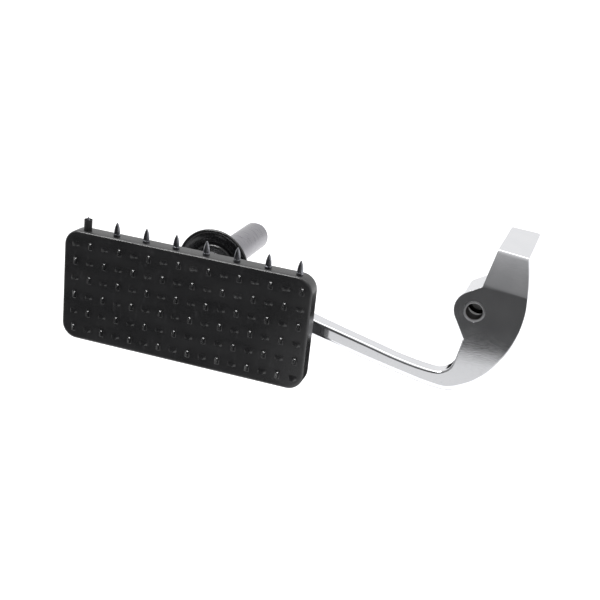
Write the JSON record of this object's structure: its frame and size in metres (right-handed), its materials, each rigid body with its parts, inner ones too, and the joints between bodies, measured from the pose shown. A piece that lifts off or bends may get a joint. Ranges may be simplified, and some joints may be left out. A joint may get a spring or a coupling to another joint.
{
  "type": "food slicer meat grip arm",
  "caption": "Pusher arm for a food slicer: toothed plate with edge spikes that swivels on a J-shaped cast arm with a slide bore, hand guard and tube handle.",
  "frame": {"origin": "middle of the slide bore, on its axis", "axes": "+X from the handle towards the slide bore, along the plate's width; +Y along the slide bore and the handle, from the teeth to the handle; +Z towards the plate edge that carries the spikes"},
  "size_m": [0.3673, 0.1685, 0.1316],
  "materials": {
    "cast_aluminium": "polished casting",
    "turned_aluminium": "turned",
    "satin_tube": "satin anodised",
    "plated_steel": "zinc plated",
    "spring_steel": "oiled spring steel",
    "bush_steel": "turned and honed",
    "spike_steel": "turned stainless",
    "bronze": "sintered bronze",
    "nylon": "natural nylon",
    "black_plastic": "moulded, fine texture",
    "black_gloss": "gloss moulded"
  },
  "bodies": {
    "arm_assembly": {"arm": "cast_aluminium", "slide_bush_front": "bush_steel", "slide_bush_rear": "bush_steel", "pivot_stud": "plated_steel", "thrust_washer": "nylon", "wave_washer": "spring_steel", "guard_spacer": "turned_aluminium", "hand_guard": "black_gloss", "handle_tube": "satin_tube", "handle_core": "turned_aluminium", "core_washer": "plated_steel", "lock_nut": "plated_steel", "end_plug": "satin_tube"},
    "grip_assembly": {"grip_plate": "black_plastic", "pivot_flange": "turned_aluminium", "flange_bush": "bronze", "flange_screws": "plated_steel", "spike_1": "spike_steel", "spike_2": "spike_steel", "spike_3": "spike_steel", "spike_4": "spike_steel", "spike_5": "spike_steel", "spike_6": "spike_steel", "spike_7": "spike_steel", "spike_8": "spike_steel", "spike_sleeve": "black_plastic"}
  },
  "joints": [
    {"name": "grip_swivel", "type": "hinge", "parent": "arm_assembly", "child": "grip_assembly", "pos_m": [-0.224, -0.044, -0.018], "axis": [0, 1, 0], "continuous": true}
  ]
}
